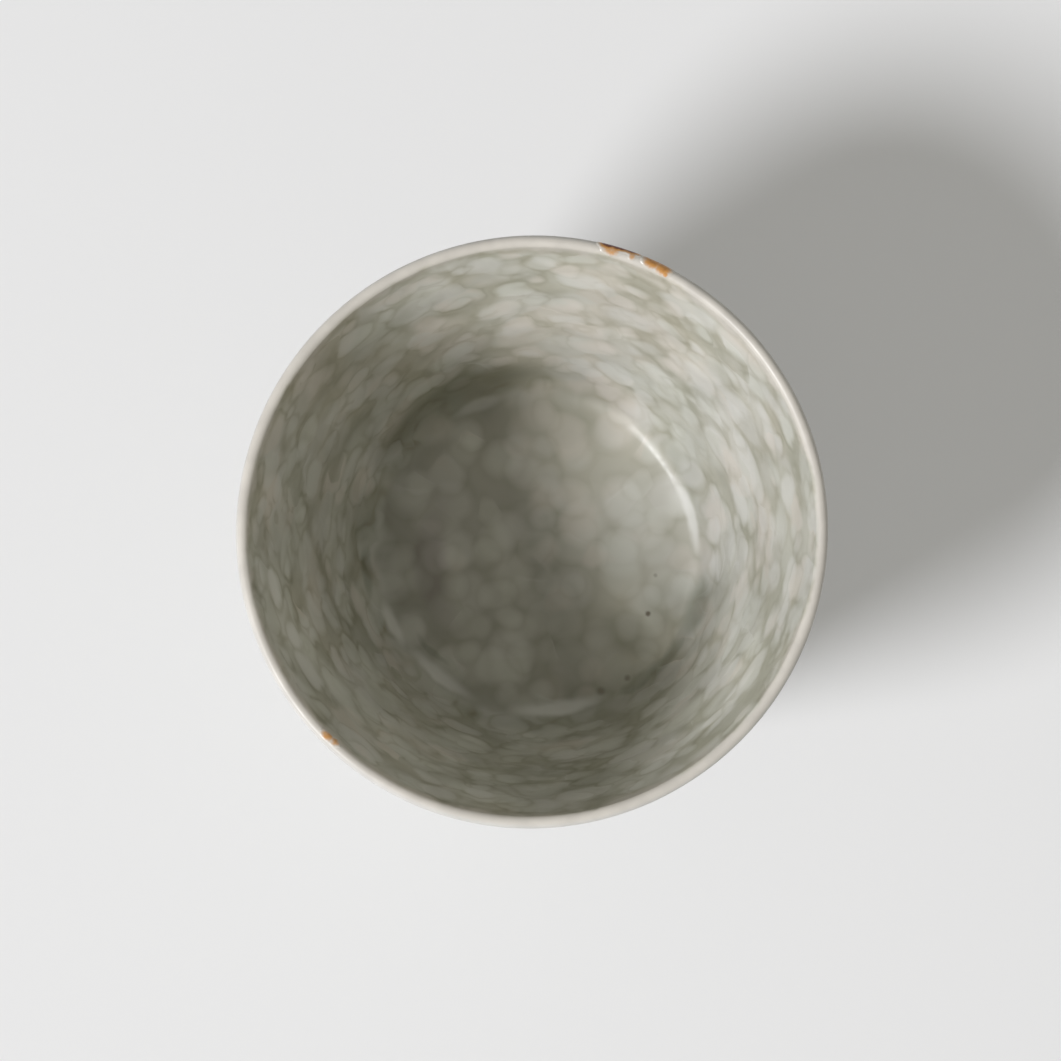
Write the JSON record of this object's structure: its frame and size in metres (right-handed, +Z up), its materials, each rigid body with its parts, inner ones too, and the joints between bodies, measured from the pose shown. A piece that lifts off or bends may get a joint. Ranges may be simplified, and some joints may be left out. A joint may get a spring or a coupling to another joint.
{
  "type": "soba choko cup",
  "caption": "Small straight-sided ceramic cup with a flaring wall, rounded thin lip, low foot ring and mottled grey-green glaze, for dipping sauce or drinks.",
  "frame": {"origin": "on the cup's axis, in the plane that the foot ring stands on", "axes": "+Z up along the axis from foot to mouth, +Y towards the top of the picture, +X to its right"},
  "size_m": [0.082, 0.082, 0.0621],
  "materials": {
    "clay": "bare fired clay, matt",
    "mottled_glaze": "satin-gloss mottled grey-green glaze",
    "lip_glaze": "thin satin-gloss cream glaze",
    "iron_enamel": "fired-on iron oxide, satin"
  },
  "bodies": {
    "root": {"clay_body": "clay", "outer_glaze": "mottled_glaze", "lip_glaze": "lip_glaze", "inner_glaze": "mottled_glaze", "base_glaze": "mottled_glaze", "iron_mark_long": "iron_enamel", "iron_mark_broad": "iron_enamel", "iron_mark_left": "iron_enamel"}
  },
  "joints": []
}
